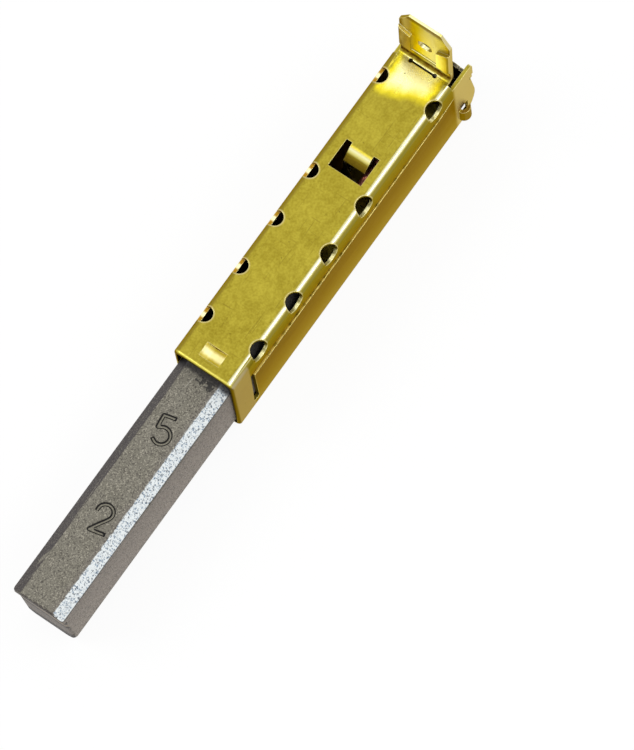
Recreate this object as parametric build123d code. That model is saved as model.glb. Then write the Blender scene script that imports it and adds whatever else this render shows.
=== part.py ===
"""Carbon brush of a small commutator motor, in its folded brass holder.

The holder is one folded sheet that lies on its narrow floor. The carbon block slides in it along X and
stands out of the mouth, towards +X, as far as its braided shunt lets the coil spring push it.
Everything is drawn with X = 0 at the mouth, and moved at the end so that the box is centred.
Millimetres, +Z up, origin at the middle of the box's underside.
"""
from build123d import *
import math
import os

# Carbon block
carbon_width = 6.3
carbon_depth = 11.0
carbon_chamfer = 1.1
carbon_reach = 29.2
carbon_inside = 13.2
face_bevel_deg = 4.2
face_lip = 0.18
face_lip_height = 1.9
face_corner_radius = 0.5
stub_length = 1.2

# Holder sheet and tube
sheet = 0.4
bend_radius = 0.9
side_clearance = 0.175
floor_clearance = 0.1
head_clearance = 1.5
wall_length = 42.4
top_setback = 2.8
floor_setback = 2.4
mouth_rounding = 0.3

# Lengthwise slit, with the lower part of each side wall sprung out at it, and the seam's dovetail keys
slit_below_top = 3.6
slit_gap = 0.12
panel_spring_front = 0.22
panel_spring_rear = 0.12
panel_fade = 2.8
collar_length = 3.05
tail_length = 3.4
relief_foot = 2.3
relief_radius = 0.4
relief_tip_radius = 0.2
key_base = 0.9
key_flare = 0.22
key_depth = 0.75

# Round holes across the upper bends
bend_hole_first = 5.0
bend_hole_pitch = 6.2
bend_hole_radius = 1.12

# Window, with the tongue that is bent down from its rear edge
window_ahead_of_terminal = 11.2
window_length = 3.35
window_width = 4.1
tongue_width = 2.7
tongue_reach = 1.8
tongue_bend_radius = 1.0
tongue_bend_deg = 40.0
tongue_root = 2.0

# Bridge that is pressed down near the mouth
bridge_front = 1.1
bridge_length = 1.6
bridge_width = 2.5
bridge_depth = 0.45

# Terminal, a spade with its long edges folded over
spade_width = 6.3
spade_insertion = 7.8
spade_neck = 2.3
spade_lean_deg = 2.5
spade_bend_radius = 0.5
spade_tip_run = 1.15
spade_tip_rise = 1.9
spade_bevel = 0.12
spade_bevel_height = 0.9
wing_width = 1.53
wing_below_tip = 3.2
wing_slope = 0.95
wing_rounding = 0.3
spade_hole_diameter = 1.75
spade_hole_below_tip = 5.3
crease_radius = 0.14
crease_below_wing = 0.55
root_slot_length = 3.0
root_slot_width = 0.2
root_slot_end_radius = 0.24

# Rear ears, spring seat and latches
ear_below_top = 1.0
ear_ahead_of_terminal = 0.7
ear_tip_radius = 0.5
ear_slant = 0.45
ear_corner_height = 5.2
ear_belly_height = 2.7
ear_belly_inset = 0.53
notch_below_top = 3.4
notch_height = 0.8
notch_depth = 0.65
seat_below_top = 3.2
seat_setback = 0.2
seat_side_gap = 0.225
seat_root_inset = 0.45
seat_corner_radius = 1.6
seat_gap = 0.08
latch_radius = 0.8
latch_mouth = 0.4
latch_height = 2.4
latch_opening = 1.15
right_latch_setback = 2.1
right_latch_bottom = 2.0
left_latch_setback = 3.9
left_latch_bottom = 6.8

# Coil spring
spring_wire = 0.45
spring_side_gap = 0.625
spring_flat_count = 6
spring_rear_turns = 2.5
spring_turns = 8.5
spring_front_turns = 1.0
spring_closed_pitch = 0.5
spring_end_gap = 0.08
stub_gap = 0.15

# Braided shunt, its hole and the tamped powder round it
shunt_diameter = 1.2
shunt_gap = 0.03
shunt_hole_diameter = 2.0
shunt_hole_depth = 4.0
shunt_below_carbon_top = 1.95
shunt_over_spring = 0.25
shunt_weld_length = 3.0
shunt_weld_thickness = 0.7
shunt_weld_width = 1.9
shunt_weld_setback = 5.4
shunt_weld_rounding = 0.5
shunt_end_side = 0.3
shunt_swing = 1.6
shunt_flat_count = 10
tamping_recess = 0.3

# Bends of the shunt: share of the way from the carbon to the weld, of the swing and of the rise
shunt_bends = (
    (0.105, 0.0, 0.0),
    (0.36, 0.56, 0.32),
    (0.57, 1.0, 0.43),
    (0.81, 0.94, 0.42),
    (0.914, 0.38, 0.95),
)
bend_share = 0.45

# How far a cut passes the face that it goes through
over = 1.0

# Sizes and places that follow
wall_cut = 2.5 * sheet
inner_width = carbon_width + 2 * side_clearance
inner_height = carbon_depth + floor_clearance + head_clearance
holder_width = inner_width + 2 * sheet
holder_height = inner_height + 2 * sheet
half_width = holder_width / 2
inner_half = inner_width / 2
top_length = wall_length - top_setback
floor_length = wall_length - floor_setback
carbon_floor = sheet + floor_clearance
carbon_top = carbon_floor + carbon_depth
carbon_middle = carbon_floor + carbon_depth / 2
slit_height = holder_height - slit_below_top
slit_top = slit_height + slit_gap
bend_top = holder_height - bend_radius
notch_top = holder_height - notch_below_top
window_rear = top_length - window_ahead_of_terminal
window_front = window_rear - window_length
seat_face = wall_length - seat_setback - sheet
spring_diameter = inner_width - 2 * spring_side_gap
stub_diameter = spring_diameter - 2 * (spring_wire + stub_gap)
shunt_hole_z = carbon_top - shunt_below_carbon_top
spring_z = shunt_hole_z - (shunt_diameter + spring_diameter) / 2 - shunt_over_spring
shunt_weld_front = top_length - shunt_weld_setback
shunt_weld_z = holder_height - sheet - shunt_weld_thickness / 2
mouth_x = (wall_length - carbon_reach) / 2


def cross_plane(x):
    """Plane across the brush: its own x is Y, its own y is Z, and it looks towards +X."""
    return Plane(origin=(x, 0, 0), x_dir=(0, 1, 0), z_dir=(1, 0, 0))


def long_plane(y):
    """Plane along the brush: its own x is X, its own y is Z, and it looks towards -Y."""
    return Plane(origin=(0, y, 0), x_dir=(1, 0, 0), z_dir=(0, -1, 0))


def block(x_range, y_range, z_range):
    """Box between two limits along each axis, given in any order."""
    lows = [min(pair) for pair in (x_range, y_range, z_range)]
    highs = [max(pair) for pair in (x_range, y_range, z_range)]
    size = [high - low for low, high in zip(lows, highs)]
    middle = [(high + low) / 2 for low, high in zip(lows, highs)]
    return Pos(*middle) * Box(*size)


def strip_bend(centre, start_angle, end_angle, radius):
    """Section of a bend in the sheet, from one angle to another, with its inside radius."""
    def at(distance, angle):
        return (centre[0] + distance * math.cos(angle), centre[1] + distance * math.sin(angle))

    middle = (start_angle + end_angle) / 2
    outside = radius + sheet
    return make_face([
        ThreePointArc(at(radius, start_angle), at(radius, middle), at(radius, end_angle)),
        Line(at(radius, end_angle), at(outside, end_angle)),
        ThreePointArc(at(outside, end_angle), at(outside, middle), at(outside, start_angle)),
        Line(at(outside, start_angle), at(radius, start_angle)),
    ])


def tube():
    """The four walls, with the sheared edge at the mouth rounded over."""
    outer = RectangleRounded(holder_width, holder_height, bend_radius)
    inner = RectangleRounded(inner_width, inner_height, bend_radius - sheet)
    section = Pos(0, holder_height / 2) * (outer - inner)
    walls = extrude(cross_plane(-wall_length) * section, wall_length)
    mouth_edges = walls.faces().sort_by(Axis.X)[-1].outer_wire().edges()
    return fillet(mouth_edges, mouth_rounding)


def sprung_panel(side):
    """Lower part of one side wall, sprung out from its bend, and the cut that it replaces."""
    x_rear = tail_length - wall_length
    x_front = -collar_length
    stations = ((x_rear, 0), (x_rear + panel_fade, panel_spring_rear), (x_front, panel_spring_front))
    sections = []
    for x, spring in stations:
        outline = Polyline(
            (side * half_width, bend_radius),
            (side * (half_width + spring), slit_height),
            (side * (inner_half + spring), slit_height),
            (side * inner_half, bend_radius),
            close=True,
        )
        sections.append(cross_plane(x) * make_face(outline))
    panel = loft(sections, ruled=True)
    cut = block((x_rear, x_front), (side * inner_half, side * half_width), (bend_radius, slit_top))
    return panel, cut


def relief_slot(side):
    """Drop-shaped slot at the front end of a slit."""
    foot = Pos(-collar_length, relief_foot) * Circle(relief_radius)
    tip = Pos(-collar_length, slit_height) * Circle(relief_tip_radius)
    drop = make_hull(foot.edges() + tip.edges())
    outside = side * (half_width + sheet)
    return extrude(long_plane(outside) * drop, side * wall_cut)


def dovetail(x, grow):
    """Outline of a dovetail key that stands on the seam's lower edge, grown by a gap."""
    base = key_base / 2 + grow
    head = key_base / 2 + key_flare + grow
    return make_face(Polyline(
        (x - base, slit_height),
        (x + base, slit_height),
        (x + head, slit_height + key_depth + grow),
        (x - head, slit_height + key_depth + grow),
        close=True,
    ))


def seam():
    """What is cut between the sheet's two long edges, which meet in the left wall with two keys."""
    collar_middle = -collar_length / 2
    tail_middle = tail_length / 2 - wall_length
    lines = Pos(collar_middle, slit_height + slit_gap / 2) * Rectangle(collar_length + over, slit_gap)
    lines += Pos(tail_middle, slit_height + slit_gap / 2) * Rectangle(tail_length, slit_gap)
    for x in (collar_middle, tail_middle):
        lines = lines + dovetail(x, slit_gap) - dovetail(x, 0)
    return extrude(long_plane(-half_width - sheet) * lines, -wall_cut)


def bend_hole(x, side):
    """Cut of a round hole punched across an upper bend, half in the top wall, half in the side wall."""
    centre = Pos(x, side * half_width, bend_top)
    through_top = Cylinder(bend_hole_radius, bend_radius + over, align=(Align.CENTER, Align.CENTER, Align.MIN))
    through_side = Rot(90, 0, 0) * Cylinder(bend_hole_radius, wall_cut)
    return centre * (through_top + through_side)


def bend_hole_places():
    """Distances of the holes from the mouth: a row at one pitch, with none beside the tongue's root."""
    last = top_length - 1.5 * bend_hole_radius
    count = int((last - bend_hole_first) // bend_hole_pitch) + 1
    row = [bend_hole_first + i * bend_hole_pitch for i in range(count)]
    return [x for x in row if not window_front < x < window_rear + tongue_root]


def tongue():
    """Tongue from the rear edge of the window, bent down towards the mouth."""
    turn = math.radians(tongue_bend_deg)
    inside = tongue_bend_radius - sheet
    centre = (-window_rear, holder_height - tongue_bend_radius)
    bend = strip_bend(centre, math.pi / 2, math.pi / 2 - turn, inside)
    straight = (tongue_reach - tongue_bend_radius * math.sin(turn)) / math.cos(turn)
    middle_radius = inside + sheet / 2
    flat = Pos(straight / 2, middle_radius) * Rectangle(straight, sheet)
    flat = Pos(*centre) * Rot(0, 0, -tongue_bend_deg) * flat
    root = Pos(-window_rear - sheet / 2, holder_height - sheet / 2) * Rectangle(sheet, sheet)
    return extrude(long_plane(0) * (root + bend + flat), tongue_width / 2, both=True)


def bridge():
    """Strip between two cross slits near the mouth, pressed down in an arc, and the cut that frees it."""
    half = bridge_width / 2
    top = holder_height
    under = top - sheet
    section = make_face([
        ThreePointArc((-half, top), (0, top - bridge_depth), (half, top)),
        Line((half, top), (half, under)),
        ThreePointArc((half, under), (0, under - bridge_depth), (-half, under)),
        Line((-half, under), (-half, top)),
    ])
    x_rear = -bridge_front - bridge_length
    strip = extrude(cross_plane(x_rear) * section, bridge_length)
    cut = block((x_rear, -bridge_front), (-half, half), (under - over, top + over))
    return strip, cut


def terminal():
    """Spade bent up from the end of the top wall, with its long edges folded over on the front."""
    lean = math.radians(spade_lean_deg)
    centre = (spade_bend_radius - top_length, holder_height + spade_bend_radius)
    bend = strip_bend(centre, -math.pi / 2, lean - math.pi, spade_bend_radius)
    root = Pos(centre[0] + sheet / 2, holder_height - sheet / 2) * Rectangle(sheet, sheet)
    half = spade_width / 2
    foot = extrude(long_plane(0) * (bend + root), half, both=True)

    foot_x = centre[0] - spade_bend_radius * math.cos(lean)
    foot_z = centre[1] - spade_bend_radius * math.sin(lean)
    up = Plane(origin=(foot_x, 0, foot_z), x_dir=(0, 1, 0), z_dir=(math.cos(lean), 0, math.sin(lean)))
    tip = (holder_height + spade_neck + spade_insertion - foot_z) / math.cos(lean)
    blade = extrude(up * make_face(Polyline(
        (-half, 0),
        (half, 0),
        (half, tip - spade_tip_rise),
        (half - spade_tip_run, tip),
        (spade_tip_run - half, tip),
        (-half, tip - spade_tip_rise),
        close=True,
    )), -sheet)

    wing_foot = tip - spade_insertion
    wing_head = tip - wing_below_tip
    for side in (-1, 1):
        inner = side * (half - wing_width)
        outline = Polyline(
            (side * half, wing_foot),
            (side * half, wing_head),
            (inner, wing_head - wing_slope),
            (inner, wing_foot),
            close=True,
        )
        wing = extrude(up * make_face(outline), sheet)
        long_edges = wing.edges().filter_by(Axis((0, 0, 0), up.y_dir))
        fold = long_edges.sort_by(lambda e: side * e.center().Y + e.center().X)[-1]
        blade = blade + fillet([fold], wing_rounding)

    tip_plane = Plane(origin=up.from_local_coords((0, tip, 0)), x_dir=up.z_dir, z_dir=(0, -1, 0))
    bevel = Polyline(
        (0, -spade_bevel_height),
        (-spade_bevel, 0),
        (-spade_bevel, sheet),
        (sheet, sheet),
        (sheet, -spade_bevel_height),
        close=True,
    )
    blade = blade - extrude(tip_plane * make_face(bevel), half, both=True)
    hole = Pos(0, tip - spade_hole_below_tip) * Circle(spade_hole_diameter / 2)
    blade = blade - extrude(up * hole, over, both=True)
    crease = Plane(origin=up.from_local_coords((0, wing_foot - crease_below_wing, 0)), z_dir=(0, 1, 0))
    return foot + blade - extrude(crease * Circle(crease_radius), half, both=True)


def ear_cut(side):
    """What is cut from the rear end of one side wall: its corners and the notch for the seat."""
    rear = -wall_length
    y_range = (side * (inner_half - sheet), side * (half_width + sheet))
    notch_foot = notch_top - notch_height
    ear_end = (rear, ear_corner_height)
    ear_foot = (-floor_length, bend_radius)
    curve = ThreePointArc(ear_end, (rear + ear_belly_inset, ear_belly_height), ear_foot)
    outside = Polyline(
        ear_foot,
        (-floor_length, -over),
        (rear - over, -over),
        (rear - over, notch_foot),
        (rear + ear_slant, notch_foot),
        ear_end,
    )
    tip = Pos(ear_tip_radius / 2, -ear_tip_radius / 2) * Rectangle(ear_tip_radius, ear_tip_radius)
    tip = tip - Pos(ear_tip_radius, -ear_tip_radius) * Circle(ear_tip_radius)
    tip = Pos(rear, holder_height - ear_below_top) * tip
    depth = y_range[0] - y_range[1]
    lower = extrude(long_plane(y_range[0]) * make_face(curve.edges() + outside.edges()), depth)
    upper = extrude(long_plane(y_range[0]) * tip, depth)
    notch = block((rear - over, rear + notch_depth), y_range, (notch_foot, notch_top))
    return lower + upper + notch


def spring_seat():
    """Flap bent up from the floor's rear end, whose shoulders sit in the ears' notches."""
    rear = -seat_face - sheet
    inside = bend_radius - sheet
    bend = strip_bend((rear + bend_radius, bend_radius), -math.pi, -math.pi / 2, inside)
    flat_front = sheet - floor_length
    flat_rear = rear + bend_radius
    flat = Pos((flat_front + flat_rear) / 2, sheet / 2) * Rectangle(flat_front - flat_rear, sheet)
    seat_width = inner_width - 2 * seat_side_gap
    root = extrude(long_plane(0) * (bend + flat), seat_width / 2 - seat_root_inset, both=True)
    seat_top = holder_height - seat_below_top
    plate = Pos(0, (bend_radius + seat_top) / 2) * Rectangle(seat_width, seat_top - bend_radius)
    plate = fillet(plate.vertices().group_by(Axis.Y)[-1], seat_corner_radius)
    shoulders = Pos(0, notch_top - notch_height / 2) * Rectangle(holder_width, notch_height - 2 * seat_gap)
    return root + extrude(cross_plane(rear) * (plate + shoulders), sheet)


def latch(side, setback, bottom):
    """Hook curled outwards from a side wall, open towards the rear, and the opening that it leaves."""
    x = setback - wall_length
    ring = Circle(latch_radius) - Circle(latch_radius - sheet)
    half_ring = ring & Pos(0, side * latch_radius) * Rectangle(2 * latch_radius, 2 * latch_radius)
    free_end = Pos(-latch_radius, 0) * Rectangle(2 * sheet, 2 * latch_mouth)
    base = Plane(origin=(x, side * half_width, bottom), x_dir=(1, 0, 0), z_dir=(0, 0, 1))
    curl = extrude(base * (half_ring - free_end), latch_height)
    hinge = x + latch_radius - sheet
    through = (side * (inner_half - over), side * (half_width + over))
    heights = (bottom - seat_gap, bottom + latch_height + seat_gap)
    opening = block((hinge - latch_opening, hinge), through, heights)
    return curl, opening


def brush_holder():
    """The folded brass sheet, in one piece."""
    body = tube()
    for side in (-1, 1):
        panel, cut = sprung_panel(side)
        body = body - cut + panel - relief_slot(side)
    body = body - seam()
    for x in bend_hole_places():
        body = body - bend_hole(-x, 1) - bend_hole(-x, -1)

    through_top = (holder_height - sheet - over, holder_height + over)
    window_half = window_width / 2
    body = body - block((-window_rear, -window_front), (-window_half, window_half), through_top) + tongue()
    strip, cut = bridge()
    body = body - cut + strip

    behind = -wall_length - over
    bend_start = spade_bend_radius - top_length
    ear_front = ear_ahead_of_terminal - top_length
    body = body - block((behind, bend_start), (-inner_half, inner_half), through_top)
    body = body - block((behind, -floor_length), (-half_width, half_width), (-over, bend_radius))
    above_ear = (holder_height - ear_below_top, holder_height + over)
    for side in (-1, 1):
        corner = (side * spade_width / 2, side * (half_width + over))
        body = body - block((behind, ear_front), corner, above_ear) - ear_cut(side)
    body = body + spring_seat() + terminal()

    slot = Rectangle(root_slot_width, root_slot_length)
    for side in (-1, 1):
        slot += Pos(0, side * root_slot_length / 2) * Circle(root_slot_end_radius)
    slot = Pos(bend_start + root_slot_width / 2, 0, through_top[0]) * slot
    body = body - extrude(slot, through_top[1] - through_top[0])
    right_latch = latch(1, right_latch_setback, right_latch_bottom)
    left_latch = latch(-1, left_latch_setback, left_latch_bottom)
    for curl, opening in (right_latch, left_latch):
        body = body - opening + curl
    return body


def carbon_block():
    """Pressed carbon with chamfered corners, a bevelled running face and a stub for the spring."""
    section = Rectangle(carbon_width, carbon_depth)
    section = Pos(0, carbon_middle) * chamfer(section.vertices(), carbon_chamfer)
    blank = extrude(cross_plane(-carbon_inside) * section, carbon_reach + carbon_inside)
    plan = Rectangle(carbon_reach + carbon_inside, carbon_width)
    plan = fillet(plan.vertices().group_by(Axis.X)[-1], face_corner_radius)
    middle_x = (carbon_reach - carbon_inside) / 2
    blank = blank & Pos(middle_x, 0, carbon_floor) * extrude(plan, carbon_depth)

    slope = math.tan(math.radians(face_bevel_deg))
    lip_foot = carbon_top - face_lip_height
    ledge = carbon_reach - face_lip - slope * face_lip_height
    ahead = carbon_reach + over
    beyond_face = Polyline(
        (carbon_reach, carbon_top + over),
        (carbon_reach, carbon_top),
        (carbon_reach - slope * face_lip_height, lip_foot),
        (ledge, lip_foot - face_lip),
        (ledge - slope * (lip_foot - carbon_floor), carbon_floor),
        (ledge - slope * (lip_foot - carbon_floor), carbon_floor - over),
        (ahead, carbon_floor - over),
        (ahead, carbon_top + over),
        close=True,
    )
    blank = blank - extrude(long_plane(0) * make_face(beyond_face), carbon_width, both=True)

    foot_x = ledge - slope * (lip_foot - carbon_floor)
    up_face = Vector(ledge - foot_x, 0, lip_foot - face_lip - carbon_floor)
    for side in (-1, 1):
        corner = Pos((over - face_corner_radius) / 2, side * (carbon_width + over - face_corner_radius) / 2)
        corner = corner * Rectangle(over + face_corner_radius, over + face_corner_radius)
        round_centre = Pos(-face_corner_radius, side * (carbon_width / 2 - face_corner_radius))
        corner = Pos(foot_x, 0, carbon_floor) * (corner - round_centre * Circle(face_corner_radius))
        blank = blank - extrude(corner, up_face.length, dir=up_face)
    stub = Pos(0, spring_z) * Circle(stub_diameter / 2)
    stub = extrude(cross_plane(-carbon_inside - stub_length) * stub, stub_length)
    hole = Pos(0, shunt_hole_z) * Circle(shunt_hole_diameter / 2)
    hole = extrude(cross_plane(-carbon_inside - over) * hole, shunt_hole_depth + over)
    return blank + stub - hole


def coil_spring():
    """Spring wire between the seat and the carbon, closed at both ends. Each half turn is one arc."""
    radius = (spring_diameter - spring_wire) / 2
    front = -carbon_inside - spring_end_gap - spring_wire / 2
    rear = spring_end_gap + spring_wire / 2 - seat_face
    closed_turns = spring_rear_turns + spring_front_turns
    open_pitch = (front - rear - closed_turns * spring_closed_pitch) / spring_turns
    climbs = [spring_closed_pitch / 2] * int(2 * spring_rear_turns)
    climbs += [open_pitch / 2] * int(2 * spring_turns)
    climbs += [spring_closed_pitch / 2] * int(2 * spring_front_turns)
    arcs = []
    x = rear
    across = radius
    for climb in climbs:
        start = (x, across, spring_z)
        top = (x + climb / 2, 0, spring_z + abs(across))
        bottom = (x + climb / 2, 0, spring_z - abs(across))
        end = (x + climb, -across, spring_z)
        arcs.append(ThreePointArc(start, top if across > 0 else bottom, end))
        x = x + climb
        across = -across
    path = Wire(arcs)
    section = RegularPolygon(spring_wire / 2, spring_flat_count)
    return sweep(Plane(origin=path @ 0, z_dir=path % 0) * section, path)


def shunt_lead():
    """Braided copper lead, drawn as its envelope, with its end pressed flat for the weld."""
    carbon_rear = -carbon_inside
    run = -shunt_weld_front - carbon_rear
    rise = shunt_weld_z - shunt_hole_z
    points = [Vector(carbon_rear + shunt_hole_depth, 0, shunt_hole_z)]
    for along, sideways, up in shunt_bends:
        points.append(Vector(carbon_rear + along * run, sideways * shunt_swing, shunt_hole_z + up * rise))
    points.append(Vector(-shunt_weld_front - shunt_weld_rounding, shunt_end_side, shunt_weld_z))
    radii = []
    for before, here, after in zip(points, points[1:], points[2:]):
        turn = math.radians((here - before).get_angle(after - here))
        shorter_run = min((here - before).length, (after - here).length)
        radii.append(bend_share * shorter_run / math.tan(turn / 2))
    print("shunt bend radii", [round(r, 1) for r in radii])
    path = FilletPolyline(*points, radius=radii)
    section = RegularPolygon(shunt_diameter / 2, shunt_flat_count)
    lead = sweep(Plane(origin=path @ 0, z_dir=path % 0) * section, path)

    ceiling = holder_height - sheet
    pad = Pos(-shunt_weld_front - shunt_weld_length / 2, shunt_end_side) * RectangleRounded(
        shunt_weld_length, shunt_weld_width, shunt_weld_rounding
    )
    pad = Pos(0, 0, ceiling - shunt_weld_thickness) * extrude(pad, shunt_weld_thickness)
    above = block((-wall_length, 0), (-half_width, half_width), (ceiling, ceiling + shunt_diameter))
    return lead - above + pad


def tamping_plug():
    """Ring of copper and graphite powder that is tamped round the shunt in its hole."""
    ring = Circle(shunt_hole_diameter / 2) - Circle(shunt_diameter / 2 + shunt_gap)
    start = tamping_recess - carbon_inside
    return extrude(cross_plane(start) * Pos(0, shunt_hole_z) * ring, shunt_hole_depth - tamping_recess)


os.makedirs("parts", exist_ok=True)
pieces = {
    "brush_holder": brush_holder(),
    "carbon_block": carbon_block(),
    "coil_spring": coil_spring(),
    "shunt_lead": shunt_lead(),
    "tamping_plug": tamping_plug(),
}
for name, shape in pieces.items():
    export_step(Pos(mouth_x, 0, 0) * shape, f"parts/{name}.step")
    print(name, len(shape.solids()), "solid", round(shape.volume, 2), "mm3")
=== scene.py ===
import bpy
import bmesh
import math
import random
from mathutils import Euler, Matrix, Vector, noise


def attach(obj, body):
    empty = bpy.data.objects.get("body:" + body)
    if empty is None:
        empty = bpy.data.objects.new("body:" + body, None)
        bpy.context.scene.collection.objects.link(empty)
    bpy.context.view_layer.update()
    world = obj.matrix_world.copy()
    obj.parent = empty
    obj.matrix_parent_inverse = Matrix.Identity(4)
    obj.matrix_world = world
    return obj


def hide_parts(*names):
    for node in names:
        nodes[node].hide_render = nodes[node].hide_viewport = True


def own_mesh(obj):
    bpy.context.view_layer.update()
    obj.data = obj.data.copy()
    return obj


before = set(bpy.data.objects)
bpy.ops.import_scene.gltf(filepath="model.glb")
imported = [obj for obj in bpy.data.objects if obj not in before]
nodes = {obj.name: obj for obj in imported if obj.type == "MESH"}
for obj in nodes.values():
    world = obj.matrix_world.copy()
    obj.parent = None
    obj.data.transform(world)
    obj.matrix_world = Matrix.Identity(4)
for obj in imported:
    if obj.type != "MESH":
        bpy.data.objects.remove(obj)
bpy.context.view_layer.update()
scene = bpy.context.scene
scene.view_settings.view_transform = "Standard"

# Camera
# A long lens looks down on the brush from the carbon's end, a little from its right side, so that
# the terminal stands at the top of the picture and the running face at the lower left.
camera_data = bpy.data.cameras.new("camera")
camera_data.lens = 370.1
camera_data.sensor_width = 36
camera_data.clip_start = 0.05
camera_data.clip_end = 5
camera = bpy.data.objects.new("camera", camera_data)
camera.location = (0.16076, 0.17636, 0.7597)
camera.rotation_euler = (0.29463, 0.05828, 2.18542)
scene.collection.objects.link(camera)
scene.camera = camera


# Studio
# A white table under soft light: a key box high on the left, a strip box on the right whose
# reflection draws the bright line along the holder's right bend over a painted highlight, and a small
# box behind the terminal that the rear end of the top wall reflects, over a painted glare.
class Socket:
    """A shader socket. Arithmetic on it adds Math nodes, so that masks read as formulas."""

    def __init__(self, socket):
        self.socket = socket

    def node(self, kind, settings, sockets, output=0):
        """Adds a node: its settings first, then the values or links of its sockets."""
        tree = self.socket.id_data
        made = tree.nodes.new(kind)
        for name, value in settings.items():
            if name == "stops":
                elements = made.color_ramp.elements
                while len(elements) < len(value):
                    elements.new(1.0)
                for element, (position, colour) in zip(elements, value):
                    element.position = position
                    element.color = colour
            else:
                setattr(made, name, value)
        for name, value in sockets.items():
            if isinstance(value, Socket):
                tree.links.new(value.socket, made.inputs[name])
            else:
                made.inputs[name].default_value = value
        return Socket(made.outputs[output])

    def math(self, operation, first, second=0.0):
        return self.node("ShaderNodeMath", {"operation": operation}, {0: first, 1: second})

    def __add__(self, other):
        return self.math("ADD", self, other)

    def __sub__(self, other):
        return self.math("SUBTRACT", self, other)

    def __mul__(self, other):
        return self.math("MULTIPLY", self, other)

    def __abs__(self):
        return self.math("ABSOLUTE", self)

    def __neg__(self):
        return self.math("MULTIPLY", self, -1.0)

    def __radd__(self, other):
        return self.math("ADD", other, self)

    def __rsub__(self, other):
        return self.math("SUBTRACT", other, self)

    def __rmul__(self, other):
        return self.math("MULTIPLY", other, self)

    def between(self, low, high):
        """0 below low, 1 above high, and smooth between them."""
        settings = {"interpolation_type": "SMOOTHSTEP"}
        return self.node("ShaderNodeMapRange", settings, {"Value": self, "From Min": low, "From Max": high})

    def below(self, low, high):
        """1 below low, 0 above high, and smooth between them."""
        return 1.0 - self.between(low, high)

    def around(self, centre, core, reach):
        """1 within core of the centre, and 0 farther than reach from it."""
        return abs(self - centre).below(core, reach)

    def colour(self, low, high):
        """The colour low where the value is 0, and high where it is 1."""
        return self.node("ShaderNodeMix", {"data_type": "RGBA"}, {0: self, 6: low, 7: high}, output=2)


def new_material(name):
    """An empty material, and the socket of its object coordinates in millimetres."""
    material = bpy.data.materials.new(name)
    material.use_nodes = True
    material.node_tree.nodes.clear()
    place = Socket(material.node_tree.nodes.new("ShaderNodeTexCoord").outputs["Object"])
    return material, place.node("ShaderNodeVectorMath", {"operation": "SCALE"}, {0: place, "Scale": 1000.0})


def axes(vector):
    """The three parts of a vector socket."""
    return [vector.node("ShaderNodeSeparateXYZ", {}, {0: vector}, output=i) for i in range(3)]


def finish_material(material, shader):
    """Links a shader to the material's output."""
    output = material.node_tree.nodes.new("ShaderNodeOutputMaterial")
    material.node_tree.links.new(shader.socket, output.inputs["Surface"])


def srgb(red, green, blue):
    """A colour as the eye names it, from 0 to 255, as the linear colour that shaders use."""
    channels = []
    for value in (red / 255, green / 255, blue / 255):
        channels.append(value / 12.92 if value <= 0.04045 else ((value + 0.055) / 1.055) ** 2.4)
    return (*channels, 1.0)


def seen_directly(tree):
    """1 for rays that show a surface in the picture or a mirror, and 0 for those that light others."""
    rays = tree.nodes.new("ShaderNodeLightPath").outputs
    seen = Socket(rays["Is Camera Ray"]) + Socket(rays["Is Glossy Ray"]) + Socket(rays["Is Transmission Ray"])
    return seen.math("MINIMUM", seen, 1.0)


def add_lamp(name, place, target, size, power):
    """A rectangular soft box at a place, turned to a target."""
    data = bpy.data.lights.new(name, "AREA")
    data.shape = "RECTANGLE"
    data.size = size[0]
    data.size_y = size[1]
    data.energy = power
    lamp = bpy.data.objects.new(name, data)
    lamp.location = place
    lamp.rotation_euler = (Vector(target) - Vector(place)).to_track_quat("-Z", "Y").to_euler()
    scene.collection.objects.link(lamp)


add_lamp("key_box", (0.3, -0.5, 0.75), (0, 0, 0), (0.4, 0.4), 2.4)
add_lamp("right_strip", (-0.14, 0.36, 0.58), (0, 0, 0.006), (0.9, 0.08), 1.15)
add_lamp("rear_box", (-0.107, -0.066, 0.33), (-0.032, 0, 0.0134), (0.045, 0.045), 0.012)

world = bpy.data.worlds.new("studio")
scene.world = world
world.use_nodes = True
world_tree = world.node_tree
world_tree.nodes.clear()
white = (1, 1, 1, 1)
ambient = 0.62
seen = seen_directly(world_tree)
sky_strength = ambient + (1 - ambient) * seen
sky = seen.node("ShaderNodeBackground", {}, {"Color": white, "Strength": sky_strength})
world_output = world_tree.nodes.new("ShaderNodeOutputWorld")
world_tree.links.new(sky.socket, world_output.inputs["Surface"])

table_half = 1.5
table_mesh = bpy.data.meshes.new("table")
table_corners = [(x * table_half, y * table_half, 0) for x, y in ((-1, -1), (1, -1), (1, 1), (-1, 1))]
table_mesh.from_pydata(table_corners, [], [(0, 1, 2, 3)])
table = bpy.data.objects.new("table", table_mesh)
scene.collection.objects.link(table)
table_paint, place = new_material("white_table")
lit = place.node("ShaderNodeBsdfDiffuse", {}, {"Color": (0.9, 0.9, 0.9, 1)})
glow = place.node("ShaderNodeEmission", {}, {"Color": white, "Strength": 1.02})
glow_share = 0.9 * seen_directly(table_paint.node_tree)
finish_material(table_paint, place.node("ShaderNodeMixShader", {}, {0: glow_share, 1: lit, 2: glow}))
table_mesh.materials.append(table_paint)


# Brush holder
# One brass sheet, pierced, folded into a tube and locked along a seam. Rolling has left a fine
# lengthwise grain and handling has turned it olive. The sides are browner, partly tarnish and partly
# painted shade, the sheared edges are bright, partly bare metal and partly painted highlight, and the
# bends carry painted shade on the left and a painted highlight on the right.
def speckle(vector, scale, detail, stretch=(1, 1, 1), turn=0.0):
    """Noise from 0 to 1 on a place in millimetres, stretched along an axis and turned about Z."""
    settings = {"vector_type": "POINT"}
    sockets = {"Vector": vector, "Rotation": Euler((0, 0, turn)), "Scale": stretch}
    vector = vector.node("ShaderNodeMapping", settings, sockets)
    return vector.node("ShaderNodeTexNoise", {}, {"Vector": vector, "Scale": scale, "Detail": detail})


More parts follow.
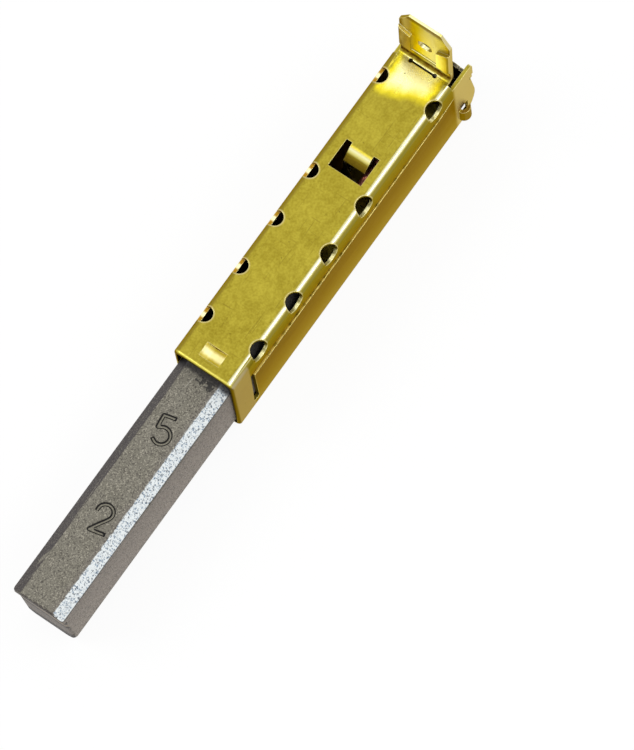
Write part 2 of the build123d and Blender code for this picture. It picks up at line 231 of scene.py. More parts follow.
def ramp(share, stops):
    """The colour at a share from 0 to 1 of a row of stops."""
    return share.node("ShaderNodeValToRGB", {"stops": stops}, {"Fac": share})


def normals(material):
    """The socket of a material's surface normals."""
    return Socket(material.node_tree.nodes.new("ShaderNodeNewGeometry").outputs["Normal"])


def rounded(vector, radius):
    """Normals with the edges rounded over a radius in metres."""
    return vector.node("ShaderNodeBevel", {"samples": 6}, {"Radius": radius})


def keep_result(piece):
    """Replaces a piece's mesh by what its modifiers make of it."""
    bpy.context.view_layer.update()
    graph = bpy.context.evaluated_depsgraph_get()
    result = bpy.data.meshes.new_from_object(piece.evaluated_get(graph))
    piece.modifiers.clear()
    piece.data = result


def cut_away(piece, cutter_mesh):
    """Cuts a cutter out of a piece and keeps the result as its mesh."""
    cutter = bpy.data.objects.new("cutter", cutter_mesh)
    scene.collection.objects.link(cutter)
    modifier = piece.modifiers.new("cut", "BOOLEAN")
    modifier.operation = "DIFFERENCE"
    modifier.solver = "EXACT"
    modifier.use_self = True
    modifier.object = cutter
    keep_result(piece)
    bpy.data.objects.remove(cutter)


def merged_copy(node, name):
    """A new piece with a node's mesh, its corners joined and its flat faces whole again."""
    shaped = bmesh.new()
    shaped.from_mesh(nodes[node].data)
    bmesh.ops.remove_doubles(shaped, verts=shaped.verts, dist=0.000001)
    flat = math.radians(0.5)
    bmesh.ops.dissolve_limit(shaped, angle_limit=flat, verts=shaped.verts, edges=shaped.edges)
    mesh = bpy.data.meshes.new(name)
    shaped.to_mesh(mesh)
    shaped.free()
    piece = bpy.data.objects.new(name, mesh)
    scene.collection.objects.link(piece)
    return piece


def smooth_but_sharp(mesh):
    """Smooth shading with the real edges kept sharp."""
    mesh.shade_smooth()
    mesh.set_sharp_from_angle(angle=math.radians(30))


# Places in the masks are in millimetres.
top_z = 13.4
slit_z = 9.8
bridge_x = 4.7
tongue_x = -20.9
tongue_low_z = 12.3
blade_width = 6.3
bend_hole_pitch = 6.2
rear_bend_hole_x = -29.4
window_x = -23.2
left_hole_y = -3.3
right_hole_y = 3.725
left_hole_foot_z = 12.62

brass, place = new_material("aged_brass")
x, y, z = axes(place)
facing = normals(brass)
facing_x, facing_y, facing_z = axes(facing)

grain = speckle(place, 4.2, 3.0)
rolling = speckle(place, 3.0, 3.0, stretch=(0.06, 2.2, 2.2))
mottle = speckle(place, 0.32, 4.0)
cloud = speckle(place, 1.3, 4.0)
pits = place.node("ShaderNodeTexVoronoi", {}, {"Vector": place, "Scale": 0.9}).below(0.03, 0.09)
scratches = speckle(place, 1.0, 1.0, stretch=(0.22, 6.0, 1.0), turn=0.9).between(0.72, 0.76)
scratches = scratches + speckle(place, 1.0, 1.0, stretch=(6.0, 0.3, 1.0), turn=0.35).between(0.71, 0.75)
scratches = scratches + speckle(place, 1.4, 1.0, stretch=(0.15, 5.0, 1.0), turn=-0.12).between(0.7, 0.75)

dot_product = {"operation": "DOT_PRODUCT"}
edge_normals = {0: rounded(place, 0.00012), 1: facing}
edge = 1.0 - place.node("ShaderNodeVectorMath", dot_product, edge_normals, output=1)
edge = edge.between(0.012, 0.12)

tone = mottle.between(0.25, 0.75) * 0.3 + cloud.between(0.3, 0.7) * 0.25 + grain.between(0.25, 0.75) * 0.45
top_colour = tone.colour(srgb(142, 126, 34), srgb(184, 170, 62))
# Side walls by height: partly tarnish and partly painted shade, darkest just under the slit where the upper
# strip shades the panel, and paler at the bottom bend.
wall_tarnish_and_shade_stops = (
    (0.0, srgb(150, 132, 84)), (0.06, srgb(172, 154, 104)), (0.1, srgb(168, 148, 84)),
    (0.3, srgb(146, 120, 50)), (0.5, srgb(124, 92, 28)), (0.725, srgb(110, 78, 22)),
    (0.735, srgb(142, 122, 54)), (0.79, srgb(138, 120, 52)), (0.84, srgb(132, 120, 48)),
    (0.93, srgb(140, 130, 52)),
)
wall_tarnish_and_shade = ramp(z * (1 / top_z), wall_tarnish_and_shade_stops)
wall_tarnish_and_shade = (rolling.between(0.3, 0.7) * 0.35).colour(wall_tarnish_and_shade, srgb(168, 146, 76))
collar = x.between(3.7, 3.9)
wall_tarnish_and_shade = (collar * 0.85).colour(wall_tarnish_and_shade, srgb(180, 166, 128))
ear = x.below(-32.8, -32.2)
wall_tarnish_and_shade = (ear * 0.9).colour(wall_tarnish_and_shade, srgb(218, 206, 152))
on_wall = abs(facing_y).between(0.62, 0.8)
metal = on_wall.colour(top_colour, wall_tarnish_and_shade)

# Painted shade on the dull left bend, and a painted highlight on the right one where it mirrors the strip
# box.
left_bend_shade = (-facing_y).between(0.15, 0.5) * facing_z.between(0.12, 0.3)
metal = (left_bend_shade * 0.8).colour(metal, srgb(142, 122, 44))
right_bend_highlight = facing_y.between(0.04, 0.22) * facing_z.between(0.74, 0.9)
crest_highlight = right_bend_highlight * (0.6 + 0.4 * rolling.between(0.3, 0.6))
metal = crest_highlight.colour(metal, srgb(242, 240, 200))

# Painted glare in front of the terminal, where the top wall reflects the rear box
on_top = facing_z.between(0.9, 0.99) * z.between(13.2, 13.35)
glare_edge = x + 0.35 * y + 1.1 * (speckle(place, 0.7, 2.0) - 0.5)
glare_side = abs(y + 0.1 + 0.8 * (speckle(place, 0.9, 2.0) - 0.5))
glare = on_top * glare_edge.below(-29.3, -28.0) * glare_side.below(2.5, 3.0)
metal = (glare * 0.85).colour(metal, srgb(240, 222, 44))
glare_core = on_top * glare_edge.below(-30.3, -28.8) * glare_side.below(1.5, 2.6)
metal = (glare_core * 0.9).colour(metal, srgb(248, 246, 190))

# Terminal: its front with a painted highlight across the middle, painted shade at its rim, two creases drawn
# in painted shade and highlight, and painted shade at its root
blade_highlight_stops = (
    (0.0, srgb(150, 126, 64)), (0.08, srgb(206, 190, 116)), (0.2, srgb(196, 174, 92)),
    (0.29, srgb(226, 200, 30)), (0.4, srgb(246, 230, 52)), (0.52, srgb(250, 244, 160)),
    (0.68, srgb(246, 244, 196)), (0.86, srgb(240, 234, 136)), (0.97, srgb(218, 198, 66)),
)
blade_front = z.between(13.75, 14.1) * x.below(-31.0, -30.6) * facing_x.between(0.4, 0.8)
across = (y + blade_width / 2 + 1.4 * (speckle(place, 0.5, 3.0) - 0.5)) * (1 / blade_width)
metal = blade_front.colour(metal, ramp(across, blade_highlight_stops))
blade_rim_shade = (abs(y).between(2.85, 3.1) + z.between(22.6, 23.2)) * blade_front
metal = (blade_rim_shade.between(0.0, 1.0) * 0.75).colour(metal, srgb(128, 100, 34))
crease_shade = z.around(15.35, 0.07, 0.16) + z.around(14.75, 0.06, 0.14) * 0.8
metal = (crease_shade * blade_front * 0.95).colour(metal, srgb(74, 50, 14))
crease_highlight = z.around(15.0, 0.1, 0.2)
metal = (crease_highlight * blade_front * 0.6).colour(metal, srgb(250, 244, 170))
root = x.below(-32.15, -31.9) * z.between(13.42, 13.5) * z.below(13.95, 14.2) * abs(y).below(3.1, 3.2)
root_shade_mottle = 0.35 + 0.65 * speckle(place, 1.6, 3.0).between(0.4, 0.6)
metal = (root * root_shade_mottle).colour(metal, srgb(120, 92, 26))
rust = abs(y).between(1.5, 2.0) * abs(y).below(2.8, 3.1) * z.between(13.5, 13.7) * z.below(13.9, 14.3)
rust = rust * x.below(-32.3, -31.9) * speckle(place, 2.4, 3.0).between(0.46, 0.56)
metal = rust.colour(metal, srgb(86, 50, 26))

# Tongue of the window, with a painted highlight across its bend
tongue_highlight_stops = (
    (0.0, srgb(150, 128, 34)), (0.25, srgb(132, 110, 28)), (0.45, srgb(150, 132, 36)),
    (0.62, srgb(236, 226, 130)), (0.8, srgb(250, 248, 196)), (0.94, srgb(196, 180, 60)),
)
on_tongue = abs(y).below(1.36, 1.38) * x.around(tongue_x, 1.0, 1.1) * facing_z.between(0.5, 0.7)
tongue_share = (z - tongue_low_z) * (1 / (top_z - tongue_low_z))
metal = (on_tongue * z.below(13.36, 13.39)).colour(metal, ramp(tongue_share, tongue_highlight_stops))

# Bend holes: a painted highlight in a ring round each, and a painted highlight on the rim of the wall
# inside it. There is none at the window or at the mouth, where the distance is made large.
from_row = x.math("PINGPONG", x - rear_bend_hole_x, bend_hole_pitch / 2)
from_row = from_row + 9.0 * x.around(window_x, 2.9, 3.1) + 9.0 * x.between(4.0, 4.2)
left_ring = from_row * from_row + (y - left_hole_y) * (y - left_hole_y)
right_ring = from_row * from_row + (y - right_hole_y) * (y - right_hole_y)
ring = left_ring.below(1.0, 1.25) + right_ring.below(1.4, 1.7)
ring = ring * facing_z.between(0.2, 0.4) * z.between(12.75, 12.85)
metal = (ring * 0.7).colour(metal, srgb(196, 182, 122))
left_rim = facing_z.between(0.5, 0.8) * z.around(left_hole_foot_z, 0.02, 0.05) * (-y).between(3.0, 3.1)
left_rim_colour = from_row.between(0.12, 0.42).colour(srgb(255, 250, 196), srgb(172, 130, 36))
metal = left_rim.colour(metal, left_rim_colour)
right_rim = facing_z.between(0.2, 0.5) * z.between(11.15, 11.25) * z.below(12.1, 12.4)
metal = (right_rim * abs(y).between(3.25, 3.3)).colour(metal, srgb(254, 248, 190))

# Painted highlights on the sheared edges at the slit and the mouth and on the bridge, and the dull hooks
slit_lip = facing_z.between(0.6, 0.8) * z.around(slit_z, 0.05, 0.08) * abs(y).between(3.2, 3.3)
slit_lip = slit_lip * speckle(place, 1.4, 3.0).between(0.35, 0.5)
metal = slit_lip.colour(metal, srgb(252, 232, 130))
mouth_lip = x.between(6.2, 6.4) * facing_z.between(0.5, 0.9)
metal = (mouth_lip * 0.6).colour(metal, srgb(240, 230, 110))
on_bridge = x.around(bridge_x, 0.78, 0.82) * abs(y).below(1.22, 1.26) * facing_z.between(0.3, 0.5)
bridge_sheen = (x - 0.3 * (speckle(place, 1.5, 2.0) - 0.5)).around(bridge_x, 0.15, 0.6)
bridge_colour = bridge_sheen.colour(srgb(206, 188, 70), srgb(252, 246, 190))
metal = (on_bridge * 0.9).colour(metal, bridge_colour)
hook = abs(y).between(3.86, 3.92)
metal = (hook * 0.8).colour(metal, srgb(118, 90, 36))

# Painted shade inside the tube and in the corners, painted shade on the sides of the mouth, wear on the top,
# and edges made bright over all of it, partly bare metal and partly painted highlight
inside = abs(y).below(3.335, 3.36) * z.below(12.97, 13.02) * z.between(0.38, 0.42)
inside = inside * (1.0 - on_tongue) * (1.0 - on_bridge)
metal = (inside * 0.93).colour(metal, srgb(46, 36, 34))
metal = (scratches * 0.4 * on_top * (1.0 - glare)).colour(metal, srgb(106, 88, 30))
metal = (pits * 0.7).colour(metal, srgb(92, 78, 30))
openness = place.node("ShaderNodeAmbientOcclusion", {"samples": 6}, {"Distance": 0.0005}, output=1)
crevice_shade = openness.below(0.25, 0.75) * (1.0 - inside) * (1.0 - crest_highlight) * (1.0 - glare) * (1.0 - on_bridge)
metal = (crevice_shade * 0.6).colour(metal, srgb(70, 48, 20))
mouth_side_shade = x.between(6.3, 6.5) * facing_z.below(0.3, 0.6)
metal = (mouth_side_shade * 0.8).colour(metal, srgb(84, 66, 26))
metal = (edge * 0.75 * (1.0 - crevice_shade) * (1.0 - mouth_side_shade)).colour(metal, srgb(240, 230, 160))

polish = 0.36 + 0.08 * blade_front + 0.4 * on_bridge - 0.14 * crest_highlight - 0.1 * edge - 0.08 * glare
polish = polish + 0.1 * (grain - 0.5) + 0.08 * (mottle - 0.5)
relief = grain * 0.35 + rolling * 0.45 - pits * 0.8 - scratches * 0.3
brass_normal = place.node("ShaderNodeBump", {}, {
    "Height": relief, "Distance": 0.000012, "Strength": 1.0, "Normal": rounded(place, 0.00008),
})
finish_material(brass, place.node("ShaderNodeBsdfPrincipled", {}, {
    "Base Color": metal, "Metallic": 1.0, "Roughness": polish, "Normal": brass_normal,
    "Specular Tint": (0.76, 0.59, 0.23, 1.0),
}))

# The CAD mesh has no left bend holes, so they are punched here.
punch_radius = 0.00092
punch_length = 0.002
punch_xs = (0.0016, -0.0046, -0.0108, -0.017, -0.0294)
punch_y = left_hole_y / 1000
punch_foot = left_hole_foot_z / 1000
punches = bmesh.new()
for punch_x in punch_xs:
    matrix = Matrix.Translation((punch_x, punch_y, punch_foot + punch_length / 2))
    bmesh.ops.create_cone(punches, cap_ends=True, segments=40, radius1=punch_radius,
                          radius2=punch_radius, depth=punch_length, matrix=matrix)
punch_mesh = bpy.data.meshes.new("punches")
punches.to_mesh(punch_mesh)
punches.free()
holder_piece = merged_copy("brush_holder", "holder")
cut_away(holder_piece, punch_mesh)
smooth_but_sharp(holder_piece.data)
flat_normals = holder_piece.modifiers.new("flat_normals", "WEIGHTED_NORMAL")
flat_normals.keep_sharp = True
flat_normals.weight = 100
keep_result(holder_piece)
holder_piece.data.materials.clear()
holder_piece.data.materials.append(brass)
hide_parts("brush_holder")
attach(holder_piece, "holder")


# Carbon block
# Pressed from carbon and graphite powder into a dark grey, grainy bar. Its die has left one chamfer
# full of shiny flakes and has stamped two plain digits into the top. The edges of the running face
# are chipped, because the block is brittle.
top_height = 0.0115
front_reach = 0.0358
block_half = 0.00315
chamfer_run = 0.0011
digit_tall = 0.0031
digit_wide = 0.0019
stroke_radius = 0.00026
stroke_lift = 0.00004
slant_along, slant_across = 0.975, 0.22
digit_places = (((0.01367, 0.00006), "5"), ((0.0247, 0.00029), "2"))
mouth_reach = 0.0075
face_slope = 0.07
bevel_start = 0.0004
lowest_chip = 0.002
chip_radius = 0.00021
chip_seed = 11
front_top_chips = 26
front_chamfer_chips = 7
front_side_chips = 16
long_edge_chips = 22


def arc(centre, half_size, first, last):
    """Points round an ellipse between two angles in degrees, 30 degrees apart. Down is positive."""
    count = max(abs(last - first) // 30, 1)
    angles = [math.radians(first + (last - first) * i / count) for i in range(count + 1)]
    return [(centre[0] + half_size[0] * math.cos(a), centre[1] - half_size[1] * math.sin(a)) for a in angles]


# Lines of the digits, in shares of their width and height from the upper left
five_head = [(0.92, 0.0), (0.18, 0.0), (0.17, 0.01), (0.09, 0.44), (0.1, 0.45)]
two_foot = [(0.4, 0.74), (0.03, 0.99), (0.04, 1.0), (1.0, 1.0)]
digit_lines = {
    "5": five_head + arc((0.48, 0.69), (0.5, 0.31), 120, -150),
    "2": arc((0.5, 0.28), (0.47, 0.28), 190, -40) + two_foot,
}


def digit_cutter(centre, digit):
    """Round stamp along the digit's line. Its foot points to the running face, a little slanted."""
    curve = bpy.data.curves.new("stamp", "CURVE")
    curve.dimensions = "3D"
    curve.bevel_depth = stroke_radius
    curve.bevel_resolution = 3
    curve.use_fill_caps = True
    line = digit_lines[digit]
    spline = curve.splines.new("NURBS")
    spline.points.add(len(line) - 1)
    for i, (across_share, down_share) in enumerate(line):
        down = (down_share - 0.5) * digit_tall
        right = (across_share - 0.5) * digit_wide
        x_place = centre[0] + down * slant_along - right * slant_across
        y_place = centre[1] + down * slant_across + right * slant_along
        spline.points[i].co = (x_place, y_place, top_height + stroke_lift, 1.0)
    spline.order_u = 3
    spline.use_endpoint_u = True
    spline.resolution_u = 6
    stamp = bpy.data.objects.new("stamp", curve)
    mesh = bpy.data.meshes.new_from_object(stamp)
    bpy.data.objects.remove(stamp)
    return mesh


def chip_cutters(seed):
    """Small jagged lumps along the edges of the running face, and a few along the chamfers."""
    dice = random.Random(seed)
    lumps = bmesh.new()
    chips = []
    chamfer_foot = top_height - chamfer_run
    chamfer_head = block_half - chamfer_run
    inset = 0.0001
    for _ in range(front_top_chips):
        chips.append((front_reach, dice.uniform(-0.002, 0.002), top_height, dice.uniform(0.5, 1.0)))
    for _ in range(front_chamfer_chips):
        share = dice.random()
        sign = dice.choice((-1, 1))
        spot_y = sign * (block_half - chamfer_run * share)
        spot_z = top_height - chamfer_run * (1 - share)
        chips.append((front_reach - inset, spot_y, spot_z, dice.uniform(0.3, 0.6)))
    for _ in range(front_side_chips):
        sign = dice.choice((-1, 1))
        spot_z = dice.uniform(lowest_chip, chamfer_foot - inset)
        spot_x = front_reach - bevel_start - face_slope * (top_height - spot_z)
        chips.append((spot_x, sign * (block_half - inset), spot_z, dice.uniform(0.4, 0.8)))
    long_edges = ((block_half, chamfer_foot), (chamfer_head, top_height),
                  (-block_half, chamfer_foot), (-chamfer_head, top_height))
    for _ in range(long_edge_chips):
        spot_x = dice.uniform(mouth_reach, front_reach - 6 * inset)
        chips.append((spot_x, *dice.choice(long_edges), dice.uniform(0.25, 0.55)))
    for *spot, size in chips:
        spot = Vector(spot)
        made = bmesh.ops.create_icosphere(lumps, subdivisions=1, radius=chip_radius * size)
        stretch = Vector((dice.uniform(0.7, 1.2), dice.uniform(0.8, 1.9), dice.uniform(0.7, 1.2)))
        for vert in made["verts"]:
            push = 1.0 + 0.5 * noise.noise(vert.co * 9000 + spot * 3000)
            vert.co = vert.co * stretch * push + spot
    mesh = bpy.data.meshes.new("chips")
    lumps.to_mesh(mesh)
    lumps.free()
    return mesh


carbon_piece = merged_copy("carbon_block", "carbon")
softened = carbon_piece.modifiers.new("softened_edges", "BEVEL")
softened.limit_method = "ANGLE"
softened.angle_limit = math.radians(28)
softened.width = 0.00009
softened.segments = 2
keep_result(carbon_piece)
for digit_place, digit in digit_places:
    cut_away(carbon_piece, digit_cutter(digit_place, digit))
cut_away(carbon_piece, chip_cutters(chip_seed))
carbon_piece.data.validate()
smooth_but_sharp(carbon_piece.data)

pressed, place = new_material("pressed_carbon")
x, y, z = axes(place)
facing_x, facing_y, facing_z = axes(normals(pressed))
on_top = facing_z.between(0.9, 0.99)
fine = speckle(place, 5.5, 2.0)
coarse = speckle(place, 0.8, 4.0)
light_grains = speckle(place, 7.0, 2.0).between(0.54, 0.64)
dark_grains = speckle(place, 6.2, 2.0).below(0.36, 0.48)
top_grey = coarse.between(0.2, 0.8).colour(srgb(114, 110, 97), srgb(124, 120, 108))
side_grey = z.between(2.0, 10.5).colour(srgb(142, 130, 120), srgb(122, 110, 102))
powder = abs(facing_y).between(0.8, 0.97).colour(top_grey, side_grey)
# Painted shade on the left chamfer, and a painted shadow on the top beside the flakes
left_chamfer_shade = (-facing_y).between(0.3, 0.5) * facing_z.between(0.3, 0.5)
powder = (left_chamfer_shade * 0.95).colour(powder, srgb(48, 42, 44))
shadow_beside_flakes = y.between(1.2, 2.0) * on_top
powder = (shadow_beside_flakes * 0.3).colour(powder, srgb(98, 84, 90))
powder = (light_grains * 0.8).colour(powder, srgb(178, 172, 156))
powder = (dark_grains * 0.8).colour(powder, srgb(56, 51, 46))
powder = ((fine - 0.5).between(-0.25, 0.25) * 0.3).colour(powder, srgb(142, 138, 126))
powder = (left_chamfer_shade * 0.6).colour(powder, srgb(56, 50, 52))

# Rub marks and a scratch at the mouth
rub_zone = x.around(7.2, 0.2, 0.8) * y.around(0.6, 0.9, 1.6) * on_top
rubs = speckle(place, 2.4, 5.0) + rub_zone * 0.12
rubs = rub_zone.between(0.02, 0.3) * rubs.between(0.62, 0.65)
scratch = (y + 0.12 * (x - 8.0)).around(-0.75, 0.03, 0.08) * x.around(8.1, 0.5, 0.8) * on_top
powder = (rubs * 0.85).colour(powder, srgb(26, 24, 24))
powder = (scratch * 0.6).colour(powder, srgb(176, 172, 158))

# Shiny flakes on the right chamfer, where the holder hasn't rubbed them off, their glint painted into their
# colour, and its dark lower edge
ragged = 0.5 * (speckle(place, 2.2, 4.0) - 0.5)
flakes = (y + ragged).between(1.95, 2.02) * x.between(6.0, 6.6) * z.between(10.42, 10.5)
flakes = flakes * facing_z.between(0.3, 0.5) * facing_y.between(-0.1, 0.2)
flake_cells = place.node("ShaderNodeTexVoronoi", {}, {"Vector": place, "Scale": 4.2})
comb = speckle(place, 3.4, 2.0, stretch=(1.6, 0.6, 0.6), turn=0.5)
flake_tone = flake_cells.between(0.1, 0.55) * 0.5 + comb.between(0.35, 0.65) * 0.5
flake_and_glint_colour = flake_tone.between(0.2, 0.7).colour(srgb(140, 160, 180), srgb(248, 254, 255))
flecks = speckle(place, 4.6, 3.0).below(0.34, 0.44)
flake_and_glint_colour = (flecks * 0.85).colour(flake_and_glint_colour, srgb(68, 78, 92))
powder = flakes.colour(powder, flake_and_glint_colour)
rim_line = z.around(10.4, 0.02, 0.07) * facing_y.between(0.4, 0.6)
powder = (rim_line * 0.8).colour(powder, srgb(58, 54, 56))

# Digits with painted shade on their slopes and a painted highlight on their floor, and the painted shade
# under the holder's top wall
in_digit = z.below(11.4, 11.47) * z.between(11.2, 11.24) * abs(y).below(1.9, 1.95)
powder = (in_digit * facing_z.below(0.84, 0.96)).colour(powder, srgb(16, 14, 14))
powder = (in_digit * on_top * 0.5).colour(powder, srgb(140, 136, 118))
sheltered = x.below(6.7, 7.2)
powder = (sheltered * 0.85 * facing_z.between(0.3, 0.6)).colour(powder, srgb(30, 27, 30))

# Running face with the lines that wear has left across it, painted shade along its bottom edge, and a painted
# sheen between the lines
front = x.between(34.3, 34.4) * abs(y).below(3.03, 3.1) * z.below(11.38, 11.46)
front = front * (abs(y) + z).below(13.38, 13.5)
front_colour = z.between(1.0, 9.0).colour(srgb(122, 112, 104), srgb(98, 90, 84))
powder = (front * 0.8).colour(powder, front_colour)
wave = z + 1.2 * (speckle(place, 0.3, 2.0) - 0.5)
wear_lines_and_shade = wave.below(2.0, 3.4)
for line_height, line_half in ((10.7, 0.6), (8.6, 0.55), (6.6, 0.4)):
    wear_lines_and_shade = wear_lines_and_shade + wave.around(line_height, 0.5 * line_half, line_half)
powder = (front * wear_lines_and_shade * 0.85).colour(powder, srgb(34, 28, 26))
lip_sheen = wave.around(9.6, 0.2, 0.5) + wave.around(7.6, 0.2, 0.5)
powder = (front * lip_sheen * 0.5).colour(powder, srgb(160, 142, 118))

relief = fine * 0.6 + light_grains * 0.3 - dark_grains * 0.5 + flakes * flake_tone * 0.8 - rubs * 0.3
carbon_normal = place.node("ShaderNodeBump", {}, {"Height": relief, "Distance": 0.00003, "Strength": 0.8})
carbon_polish = 0.62 - 0.22 * flakes - 0.15 * rubs + 0.15 * (fine - 0.5)
finish_material(pressed, place.node("ShaderNodeBsdfPrincipled", {}, {
    "Base Color": powder, "Metallic": 0.0, "Roughness": carbon_polish, "Normal": carbon_normal,
    "Specular IOR Level": 0.4,
}))
carbon_piece.data.materials.clear()
carbon_piece.data.materials.append(pressed)
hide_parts("carbon_block")
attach(carbon_piece, "carbon")


# Tamping plug
# Copper and graphite powder, tamped round the shunt in its hole. It has set into a dull, reddish
# and crumbly ring.
tamped, place = new_material("tamped_powder")
crumbs = speckle(place, 7.0, 3.0)
copper_flakes = speckle(place, 9.0, 1.0).between(0.6, 0.68)
powder = crumbs.between(0.3, 0.7).colour(srgb(58, 48, 44), srgb(104, 78, 66))
powder = copper_flakes.colour(powder, srgb(186, 112, 82))
plug_normal = place.node("ShaderNodeBump", {}, {"Height": crumbs, "Distance": 0.00006, "Strength": 1.0})
finish_material(tamped, place.node("ShaderNodeBsdfPrincipled", {}, {
    "Base Color": powder, "Metallic": copper_flakes * 0.8, "Roughness": 0.75 - 0.3 * copper_flakes,
    "Normal": plug_normal,
}))
nodes["tamping_plug"].data.materials.clear()
nodes["tamping_plug"].data.materials.append(tamped)


# Coil spring
# Round spring steel wire, wound with closed coils at both ends. It pushes the carbon away from the
# seat. Drawing the wire has left fine rings round it, and it is dark between the lit lines.
def tube_along(points, radius_at, sides, name):
    """A closed tube along points. Its radius follows from the length so far and the angle round it."""
    verts = []
    faces = []
    length = 0.0
    across_line = Vector((0, 0, 1))
    for i, point in enumerate(points):
        before = points[max(i - 1, 0)]
        after = points[min(i + 1, len(points) - 1)]
        along = (after - before).normalized()
        across_line = (across_line - along * across_line.dot(along)).normalized()
        third = along.cross(across_line)
        length += (point - before).length
        for k in range(sides):
            angle = 2 * math.pi * k / sides
            reach = radius_at(length, angle)
            verts.append(point + (across_line * math.cos(angle) + third * math.sin(angle)) * reach)
    for i in range(len(points) - 1):
        for k in range(sides):
            a, b = i * sides + k, i * sides + (k + 1) % sides
            faces.append((a, b, b + sides, a + sides))
    faces.append(tuple(reversed(range(sides))))
    faces.append(tuple(range(len(verts) - sides, len(verts))))
    mesh = bpy.data.meshes.new(name)
    mesh.from_pydata(verts, [], faces)
    mesh.shade_smooth()
    piece = bpy.data.objects.new(name, mesh)
    scene.collection.objects.link(piece)
    return piece


wire_radius = 0.000225
wire_sides = 14
coil_radius = 0.002475
coil_axis_height = 0.006
coil_rear = -0.034895
coil_front = -0.006905
closed_pitch = 0.0005
rear_closed, open_turns, front_closed = 2.5, 8.5, 1.0
turn_points = 40
open_pitch = (coil_front - coil_rear - (rear_closed + front_closed) * closed_pitch) / open_turns
total_turns = rear_closed + open_turns + front_closed
wire_line = []
for i in range(int(total_turns * turn_points) + 1):
    turns = i / turn_points
    closed_rear = min(turns, rear_closed)
    opened = min(max(turns - rear_closed, 0.0), open_turns)
    closed_front = max(turns - rear_closed - open_turns, 0.0)
    along_x = coil_rear + (closed_rear + closed_front) * closed_pitch + opened * open_pitch
    angle = 2 * math.pi * turns
    height = coil_axis_height + coil_radius * math.sin(angle)
    wire_line.append(Vector((along_x, coil_radius * math.cos(angle), height)))
spring_piece = tube_along(wire_line, lambda length, angle: wire_radius, wire_sides, "spring")

steel, place = new_material("spring_steel")
drawn = speckle(place, 6.0, 3.0)
blotch = speckle(place, 1.2, 3.0).between(0.35, 0.65)
steel_colour = blotch.colour(srgb(128, 122, 118), srgb(184, 180, 174))
steel_colour = (drawn.between(0.55, 0.7) * 0.5).colour(steel_colour, srgb(196, 194, 190))
steel_normal = place.node("ShaderNodeBump", {}, {"Height": drawn, "Distance": 0.000008, "Strength": 1.0})
finish_material(steel, place.node("ShaderNodeBsdfPrincipled", {}, {
    "Base Color": steel_colour, "Metallic": 1.0, "Roughness": 0.3 + 0.15 * blotch, "Normal": steel_normal,
}))
spring_piece.data.materials.append(steel)
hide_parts("coil_spring")
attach(spring_piece, "holder")
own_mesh(spring_piece)


# Shunt
# A lead of fine copper wires in braided strands. It is tamped into the carbon at its front end, and
# its rear end is pressed flat and spot welded under the top wall.
lead_radius = 0.00057
lead_sides = 40
# From the tamped hole to the weld, in millimetres
lead_points = (
    (-2.6, 0, 9.55), (-8.8, 0, 9.55), (-14.16, 0.9, 10.54), (-18.57, 1.6, 10.88), (-23.61, 1.5, 10.85),
    (-25.79, 0.61, 12.45), (-27.0, 0.35, 12.6), (-28.3, 0.3, 12.6),
)
strand_count = 8
strand_pitch = 0.0042
wires_round = 34
lead_curve = bpy.data.curves.new("lead_line", "CURVE")
lead_curve.dimensions = "3D"
lead_spline = lead_curve.splines.new("NURBS")
lead_spline.points.add(len(lead_points) - 1)
for spline_point, (px, py, pz) in zip(lead_spline.points, lead_points):
    spline_point.co = (px / 1000, py / 1000, pz / 1000, 1.0)
lead_spline.order_u = 3
lead_spline.use_endpoint_u = True
lead_spline.resolution_u = 48
lead_guide = bpy.data.objects.new("lead_line", lead_curve)
lead_mesh = bpy.data.meshes.new_from_object(lead_guide)
lead_line = [vert.co.copy() for vert in lead_mesh.vertices]
bpy.data.objects.remove(lead_guide)


def strand_reach(length, angle):
    """Two sets of strands cross each other, and the outer one at each spot stands out."""
    twist = 2 * math.pi * length / strand_pitch
    one = math.cos(strand_count * (angle + twist) / 2)
    other = math.cos(strand_count * (angle - twist) / 2)
    fine_wire = 0.012 * math.cos(wires_round * (angle + twist))
    return lead_radius * (0.9 + 0.09 * max(one, other) + fine_wire)


shunt_piece = tube_along(lead_line, strand_reach, lead_sides, "shunt")
pad_length, pad_width, pad_thick = 0.003, 0.0019, 0.0007
pad_centre = Vector((-0.0291, 0.0003, 0.01265))
weave_depth = 0.00003
weave_room = 0.00004


def pad_place(side, u, v):
    """A place on the pressed end, woven below. u and v run from -1 to 1 along and across it."""
    rim = max(abs(u) ** 6, abs(v) ** 4)
    bulge = (pad_thick / 2 - weave_room) * (1 - 0.45 * rim)
    if side < 0:
        weave = math.cos(strand_count * (v * 2.2 + u * 3.0)) * math.cos(strand_count * (v * 2.2 - u * 3.0))
        bulge += weave_depth * weave * (1 - rim)
    narrowing = 1 - 0.2 * abs(u) ** 8
    return pad_centre + Vector((u * pad_length / 2, v * pad_width / 2 * narrowing, side * bulge))


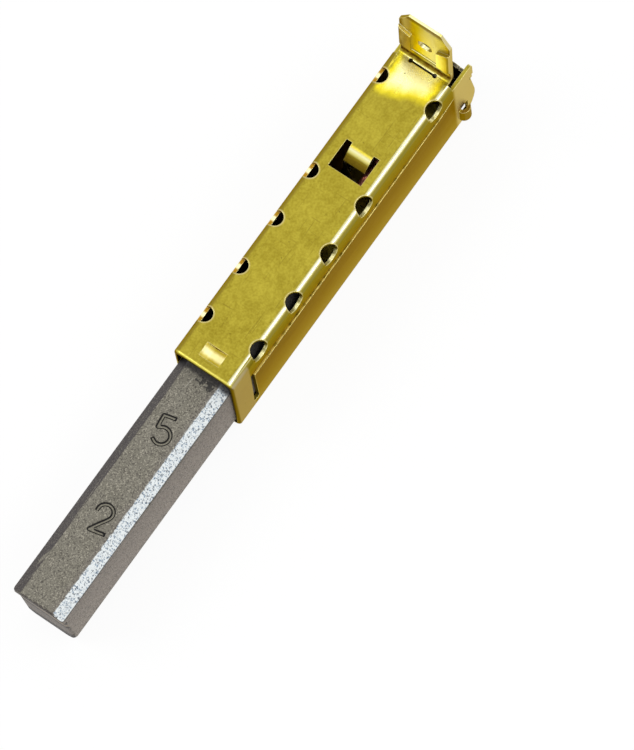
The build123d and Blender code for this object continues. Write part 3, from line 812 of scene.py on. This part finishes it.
pad = bmesh.new()
along_steps, across_steps = 26, 16
halves = []
for side in (1, -1):
    rows = []
    for i in range(along_steps + 1):
        u = 2 * i / along_steps - 1
        row = [pad_place(side, u, 2 * j / across_steps - 1) for j in range(across_steps + 1)]
        rows.append([pad.verts.new(spot) for spot in row])
    halves.append(rows)
    for i in range(along_steps):
        for j in range(across_steps):
            corners = (rows[i][j], rows[i + 1][j], rows[i + 1][j + 1], rows[i][j + 1])
            pad.faces.new(corners if side > 0 else corners[::-1])
upper, lower = halves
for i in range(along_steps):
    pad.faces.new((upper[i][0], lower[i][0], lower[i + 1][0], upper[i + 1][0]))
    pad.faces.new((upper[i + 1][-1], lower[i + 1][-1], lower[i][-1], upper[i][-1]))
for j in range(across_steps):
    pad.faces.new((upper[0][j + 1], lower[0][j + 1], lower[0][j], upper[0][j]))
    pad.faces.new((upper[-1][j], lower[-1][j], lower[-1][j + 1], upper[-1][j + 1]))
pad_mesh = bpy.data.meshes.new("shunt_weld")
bmesh.ops.recalc_face_normals(pad, faces=pad.faces)
pad.to_mesh(pad_mesh)
pad.free()
pad_mesh.shade_smooth()
pad_piece = bpy.data.objects.new("shunt_weld", pad_mesh)
scene.collection.objects.link(pad_piece)

copper, place = new_material("braided_copper")
wires = speckle(place, 9.0, 2.0, stretch=(0.5, 1.6, 1.6), turn=0.6)
tarnish = speckle(place, 1.6, 3.0).between(0.4, 0.65)
copper_colour = wires.between(0.35, 0.65).colour(srgb(96, 54, 48), srgb(196, 120, 98))
copper_colour = (tarnish * 0.65).colour(copper_colour, srgb(70, 44, 52))
copper_normal = place.node("ShaderNodeBump", {}, {"Height": wires, "Distance": 0.00003, "Strength": 1.0})
finish_material(copper, place.node("ShaderNodeBsdfPrincipled", {}, {
    "Base Color": copper_colour, "Metallic": 1.0, "Roughness": 0.38 + 0.2 * tarnish, "Normal": copper_normal,
}))
for piece in (shunt_piece, pad_piece):
    piece.data.materials.append(copper)
    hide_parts("shunt_lead")
    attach(piece, "holder")
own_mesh(shunt_piece)
